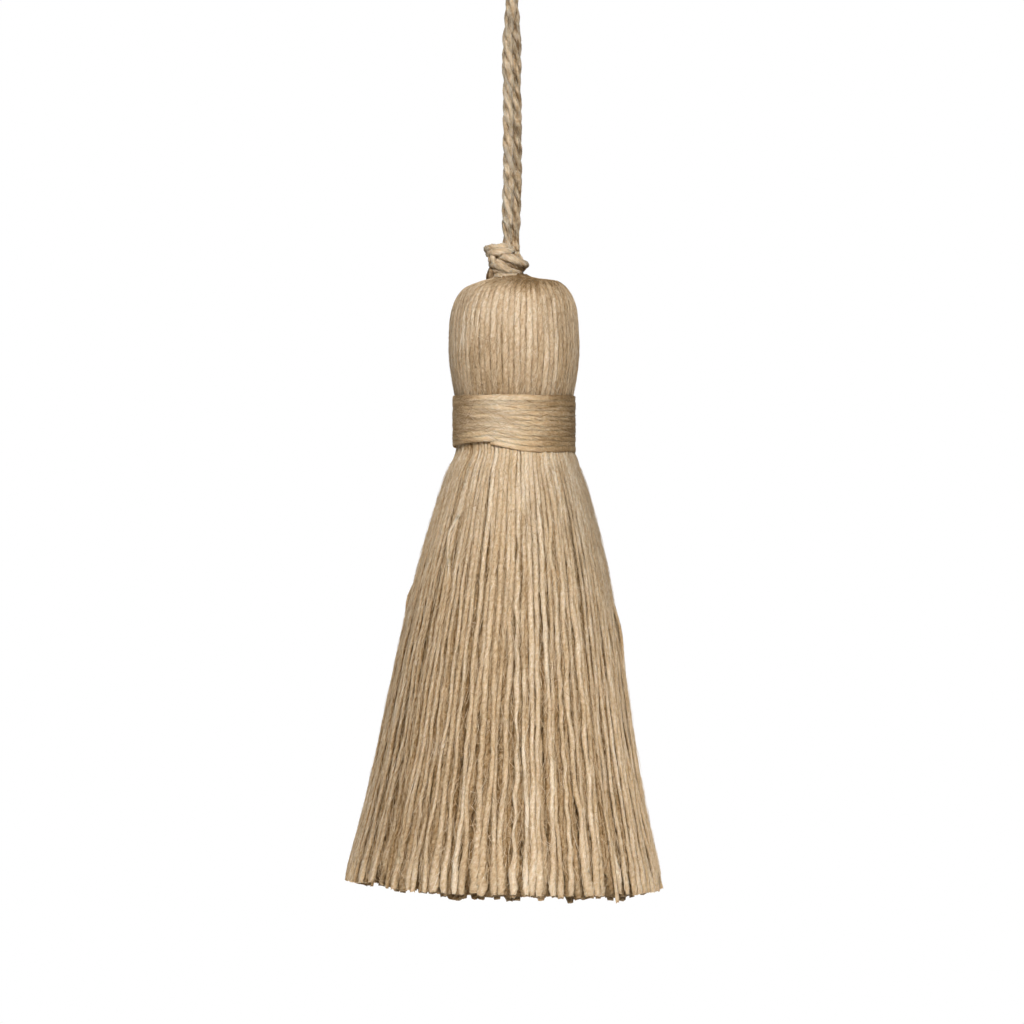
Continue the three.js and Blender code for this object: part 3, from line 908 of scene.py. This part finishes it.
skirt = dict(
    seed=41,
    length=107.5,
    tilt=1.1,  # how much longer at the right
    fibrePitch=19.0,
    # drop below the binding, radius and sideways shift
    profile=[
        (-5, 14.2, 0.5), (-1.2, 14.8, 0.6), (0.6, 15.35, 0.8), (4.5, 16.95, 0.5),
        (12, 19.5, 0.5), (27, 23.5, 0.2), (42, 26.8, -0.3), (57, 29.6, -0.8),
        (72, 32.2, -1.3), (87, 35.2, -1.7), (102, 38.7, -2.1), (114, 41, -2.3),
    ],
    flat=0.7,  # how deep a yarn is for its width
    proud=0.12,  # how far a yarn may stand out of the outline
    placeSpread=0.17,
    sunkBy=0.5,  # share of the length where a layer reaches its lower depth
    unevenBy=0.3,
    # beats and growth towards the hem; the layer gives the heights of the first two
    diveWaves=[(1, (0.5, 1.6), 0.5), (0.4, (3, 6), 0.5)],
    swayWave=((0.5, 1.5), 0.8),
    asideWaves=[(0.24, (3, 7), 0.5), (0.1, (11, 17), 0.5)],
    asideRadius=0.8,
    swellWaves=[(0.1, (2, 5)), (0.07, (8, 13))],
    swellSpread=0.16,
    toneWaves=[(0.075, (1, 4)), (0.05, (6, 12))],
    toneSpread=0.05,
    bunches=0.06,
    # the cut ends open out, coarser and ragged, and are rounded and hollow at the tip
    flareLength=16.0, opening=(0.6, 1.35), openDeep=0.35, endBunches=1.2, cutRagged=0.22,
    tipLength=1.4, tipRow=0.35, tipRound=0.4, tipHollow=0.4,
    # the yarns stand out a little to close the gap under the lifted binding
    bulge=dict(at=-2.45, spread=0.5, out=0.15, most=-3.0, gone=-1.6),
    # sunk: how far behind the outline, at the top and lower down; reach: share of its radius
    # the layers behind the front and the filling ends have darker tones, painted shade for the gaps
    # between the front yarns
    layers={
        "skirtFront": dict(
            count=98, rows=72, sides=8, reach=1.0, sunk=(0.0, 0.0), width=1.25, flare=0.7,
            longer=0.0, ragged=0.2, sway=0.55, uneven=0.18, dive=0.45, tone=0.75, groove=0.36,
            shows=0, endShade=0.06,
        ),
        "skirtBetween": dict(
            count=76, rows=60, sides=8, reach=1.0, sunk=(0.4, 0.75), width=1.6, flare=0.7,
            longer=0.0, ragged=0.25, sway=0.5, uneven=0.3, dive=0.3, tone=0.42, groove=0.28,
            shows=0.5, endShade=0.3,
        ),
        "skirtUnder": dict(
            count=104, rows=48, sides=6, reach=1.0, sunk=(0.7, 1.0), width=2.7, flare=0.5,
            longer=-0.2, ragged=0.3, sway=0.15, uneven=0.05, dive=0.1, tone=0.33, groove=0.15,
            shows=1, endShade=0.58,
        ),
        "skirtDeep": dict(
            count=74, rows=36, sides=6, reach=1.0, sunk=(2.2, 2.6), width=1.9, flare=0.4,
            longer=0.5, ragged=0.3, sway=0.5, uneven=0.1, dive=0.3, tone=0.36, groove=0.1, shows=1,
            endShade=0.58,
        ),
        "skirtInner": dict(fillMake, count=110, reach=0.86),
        "skirtCore": dict(fillMake, count=90, reach=0.66),
        "skirtHeart": dict(fillMake, count=64, reach=0.44),
        "skirtCentre": dict(fillMake, count=34, reach=0.22),
    },
    # yarns that stray: where in degrees, at which drop, how far aside, out, up and down
    strays=[
        (-131, 20, -2.0, 0.4, 6, 13), (178, 36, 0.0, 1.0, 5, 7), (-4, 44, 0.0, 0.8, 9, 13),
        (-56, 112, -2.4, 0.3, 14, 14), (-97, 74, 1.2, 0.4, 22, 26), (-64, 24, -1.0, 0.4, 5, 8),
        (-3, 111, 0.0, 0.9, 12, 5),
    ],
    longYarn=dict(at=-47, longer=1.7),
    # tone patches, darker and lighter, one of them a painted shadow under the lifted binding; dimmer
    # patches of painted shade at both sides
    shadeAndTone=[
        (-2.35, 0.22, 0.1, 45, 12), (-1.78, 0.28, 0.07, *allOver), (-1.33, 0.22, -0.06, *allOver),
        (-0.95, 0.3, 0.06, *allOver), (-2.5, 0.5, 0.32, -1.8, 0.6),
    ],
    shaded=[(-2.8, 0.6, 0.15, 95, 108), (-0.25, 0.72, 0.35, 10, 70)],
    # the painted shade in the gaps between the yarns is stronger at the left
    deeperGrooveShade=[(-2.75, 0.55, -0.26, 90, 120)],
    # the hem rises at the left, and in places the darker ends behind show below it
    hem=[(-2.58, 0.16, -0.9)],
    showing=[(-1.9, 0.12, 1.2), (-1.55, 0.2, 0.8), (-1.04, 0.05, 1.0), (-0.71, 0.1, 0.9)],
    # over this length painted shade dims the ends, most of all those behind
    endLength=8.0,
    # the painted groove shade is faint at the top, full from this drop on and fainter at the hem
    topGroove=0.35, fullGroove=45, hemGroove=0.7,
    wisps=dict(
        count=2200, length=(6, 14), between=(0.05, 1.0), round=1.25, pitch=19.0, stray=0.4,
        lift=(-0.06, 0.05), ends=0.2, thick=0.18, paler=0.02, mixed=0.07,
    ),
    fuzz=dict(
        fuzzMake, count=6400, length=(3, 9), between=(0.05, 0.9), stop=0.925, swing=0.22, curl=0.2,
        sunk=(-0.15, 0.6), lift=0.15, thick=0.1, tone=0.64, mixed=0.12,
    ),
    crossFuzz=dict(
        fuzzMake, count=7000, length=(1.5, 4), between=(0.06, 0.9), stop=0.925, swing=0.6, curl=0.3,
        sunk=(-0.1, 0.4), lift=0.1, thick=0.09, tone=0.55, mixed=0.18,
    ),
)
skirtShell = shellOf(skirt["profile"], bindingBottom)


def nearestYarn(base, degrees):
    return int(np.argmin(np.abs(turnFrom(base[:, 0], math.radians(degrees)))))


def makeSkirtLayer(name, layer, seed):
    rng = np.random.default_rng(seed)
    count, rows = layer["count"], layer["rows"]
    front = name == "skirtFront"
    spread = skirt["placeSpread"]
    # every other layer stands half a yarn round
    place = np.arange(count)[:, None] + rng.uniform(-spread, spread, (count, 1)) + (seed % 2) / 2
    base = fullTurn * place / count
    drawn = rng.normal(0, layer["ragged"], (count, 1))
    end = skirt["length"] + layer["longer"] + skirt["tilt"] * np.cos(base) + drawn
    for at, spread, longer in skirt["hem"]:
        end = end + longer * near(base, at, spread)
    for at, spread, longer in skirt["showing"]:
        end = end + layer["shows"] * longer * near(base, at, spread)
    if front:
        end[nearestYarn(base, skirt["longYarn"]["at"])] += skirt["longYarn"]["longer"]
    tip = skirt["tipLength"] / skirt["length"]
    share = np.concatenate([np.linspace(0, 1 - tip, rows - 2), [1 - skirt["tipRow"] * tip, 1]])[None]
    walked = np.interp(end, skirtShell["drop"], skirtShell["walked"]) * share
    drop = readShell(skirtShell, "drop", walked)
    grown = np.clip(drop / skirt["length"], 0, 1)
    radius = readShell(skirtShell, "radius", walked)
    sunk = blend(*layer["sunk"], ease(0, skirt["sunkBy"], grown))
    sunk = sunk + layer["width"] / 2 + radius * (1 - layer["reach"])
    dive = rng.normal(0, layer["uneven"], (count, 1)) * ease(0, skirt["unevenBy"], grown)
    for part, *beats in skirt["diveWaves"]:
        dive = dive + waves(rng, count, grown, part * layer["dive"], *beats)
    sunk = sunk + np.maximum(dive, -skirt["proud"])
    aside = waves(rng, count, grown, layer["sway"], *skirt["swayWave"])
    aside = waved(aside, rng, count, grown, skirt["asideWaves"])
    aside = aside + rng.normal(0, layer["sway"], (count, 1)) * grown ** 2
    bulge = skirt["bulge"]
    bulged = bulge["out"] * near(base, bulge["at"], bulge["spread"])
    sunk = sunk - bulged * (1 - ease(bulge["most"], bulge["gone"], drop))
    if front:
        for at, middle, sideways, outwards, above, below in skirt["strays"]:
            one = nearestYarn(base, at)
            gap = drop[one] - middle
            hump = np.where(gap < 0, ease(-above, 0, gap), 1 - ease(0, below, gap))
            aside[one] += sideways * hump
            sunk[one] -= outwards * hump
    angle = base + aside / np.maximum(radius - sunk, skirt["asideRadius"])
    path, wide, out = onShell(skirtShell, walked, angle, sunk, level=True)
    swell = waved(1, rng, count, share, skirt["swellWaves"])
    swell = swell + rng.normal(0, skirt["swellSpread"], (count, 1))
    flare = ease(0, 1, (drop - end + skirt["flareLength"]) / skirt["flareLength"])
    opened = flare * layer["flare"] * rng.uniform(*skirt["opening"], (count, 1))
    opened = (1 + opened) * (1 - skirt["tipRound"] * ease(1 - tip, 1, share)) - 1
    toneWave = waved(0, rng, count, share, skirt["toneWaves"])
    tone = layer["tone"] + rng.normal(0, skirt["toneSpread"], (count, 1)) + toneWave
    dimmed = layer["endShade"] * ease(end - skirt["endLength"], end, drop)
    groove = layer["groove"] * blend(skirt["topGroove"], 1, ease(0, skirt["fullGroove"], drop))
    groove = patched(groove, base, drop, skirt["deeperGrooveShade"])
    run = dict(
        path=path, wide=wide, out=out,
        halfWide=layer["width"] / 2 * swell * (1 + opened),
        halfDeep=layer["width"] / 2 * skirt["flat"] * swell * (1 + skirt["openDeep"] * opened),
        turn=fullTurn * walked / skirt["fibrePitch"] + rng.uniform(0, fullTurn, (count, 1)),
        along=walked,
        tone=patched(tone, base, drop, skirt["shadeAndTone"]),
        lit=patched(1 + 0 * angle, base, drop, skirt["shaded"]) - dimmed,
        groove=(groove * blend(1, skirt["hemGroove"], flare))[..., None],
    )
    bag = newBag()
    cut = dict(ragged=skirt["cutRagged"], hollow=skirt["tipHollow"])
    skinRun(bag, rng, run, layer["sides"], skirt["bunches"], skirt["endBunches"] * flare, **cut)
    piece = makePiece(name, bag, yarnMaterial)
    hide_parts("tassel_yarn")
    return run


def makeSkirt():
    runs = makeLayers(skirt, makeSkirtLayer)
    rng = np.random.default_rng(skirt["seed"] - 1)
    bag = newBag()
    addWisps(bag, rng, runs[0], skirt["wisps"])
    makePiece("skirtFrontFibres", bag, fibreMaterial)
    for name, kind in (("skirtLooseFibres", "fuzz"), ("skirtCrossedFibres", "crossFuzz")):
        bag = newBag()
        addFuzz(bag, rng, skirtShell, skirt[kind], skirt)
        makePiece(name, bag, fibreMaterial)


makeSkirt()

stage = dict(
    floor=-1.2,
    radius=1.45,
    clear=0.7,  # the radius where it starts to thin out
    colour=(0.86, 0.86, 0.86, 1),
    rough=0.9, rings=24, sides=96,
)


def makeFloor():
    # a pale round floor that thins out into the white round about
    sides = stage["sides"]
    angle = fullTurn * np.arange(sides) / sides
    verts = [(0, 0, stage["floor"])]
    for r in np.linspace(0, stage["radius"], stage["rings"] + 1)[1:]:
        verts += [(r * math.cos(a), r * math.sin(a), stage["floor"]) for a in angle]
    faces = [(0, 1 + i, 1 + (i + 1) % sides) for i in range(sides)]
    for ring in range(stage["rings"] - 1):
        inner = 1 + ring * sides
        for i in range(sides):
            j = (i + 1) % sides
            faces.append((inner + i, inner + sides + i, inner + sides + j, inner + j))
    mesh = bpy.data.meshes.new("studioFloor")
    mesh.from_pydata(verts, [], faces)
    material = bpy.data.materials.new("paleFloor")
    material.use_nodes = True
    nodes = material.node_tree.nodes
    link = material.node_tree.links.new
    skin = nodes["Principled BSDF"]
    setInputs(skin, {"Base Color": stage["colour"], "Roughness": stage["rough"]})
    place = nodes.new("ShaderNodeTexCoord")
    flat = nodes.new("ShaderNodeMapping")
    flat.inputs["Scale"].default_value = (1, 1, 0)
    span = nodes.new("ShaderNodeVectorMath")
    span.operation = "LENGTH"
    link(place.outputs["Object"], flat.inputs["Vector"])
    link(flat.outputs["Vector"], span.inputs[0])
    fade = nodes.new("ShaderNodeMapRange")
    fade.interpolation_type = "SMOOTHSTEP"
    setInputs(fade, {"From Min": stage["clear"], "From Max": stage["radius"], "To Min": 1, "To Max": 0})
    link(span.outputs["Value"], fade.inputs["Value"])
    link(fade.outputs["Result"], skin.inputs["Alpha"])
    mesh.materials.append(material)
    floor = bpy.data.objects.new("studioFloor", mesh)
    scene.collection.objects.link(floor)


lights = dict(
    target=(0, 0, -0.16),
    ambient=0.08,
    backdrop=1.0,
    lamps=[
        dict(name="frontSoftbox", place=(0.14, -1.7, 0.98), size=0.7, power=58),
        dict(name="backSoftbox", place=(-0.35, 1.75, 0.55), size=0.9, power=40),
        dict(name="lowSoftbox", place=(0, 0, -0.5), size=2.0, power=12),
    ],
)


def makeLights():
    for lamp in lights["lamps"]:
        data = bpy.data.lights.new(lamp["name"], "AREA")
        data.size = lamp["size"]
        data.energy = lamp["power"]
        light = bpy.data.objects.new(lamp["name"], data)
        light.location = lamp["place"]
        heading = Vector(lights["target"]) - light.location
        light.rotation_euler = heading.to_track_quat("-Z", "Y").to_euler()
        light.visible_camera = False
        light.visible_glossy = False
        scene.collection.objects.link(light)
    world = bpy.data.worlds.new("whiteStudio")
    scene.world = world
    world.use_nodes = True
    nodes = world.node_tree.nodes
    link = world.node_tree.links.new
    nodes.clear()
    output = nodes.new("ShaderNodeOutputWorld")
    seen = nodes.new("ShaderNodeBackground")
    setInputs(seen, {"Color": (1, 1, 1, 1), "Strength": lights["backdrop"]})
    lit = nodes.new("ShaderNodeBackground")
    setInputs(lit, {"Color": (1, 1, 1, 1), "Strength": lights["ambient"]})
    which = nodes.new("ShaderNodeLightPath")
    mix = nodes.new("ShaderNodeMixShader")
    link(which.outputs["Is Camera Ray"], mix.inputs["Fac"])
    link(lit.outputs["Background"], mix.inputs[1])
    link(seen.outputs["Background"], mix.inputs[2])
    link(mix.outputs["Shader"], output.inputs["Surface"])


makeFloor()
makeLights()
scene.view_settings.view_transform = "Standard"
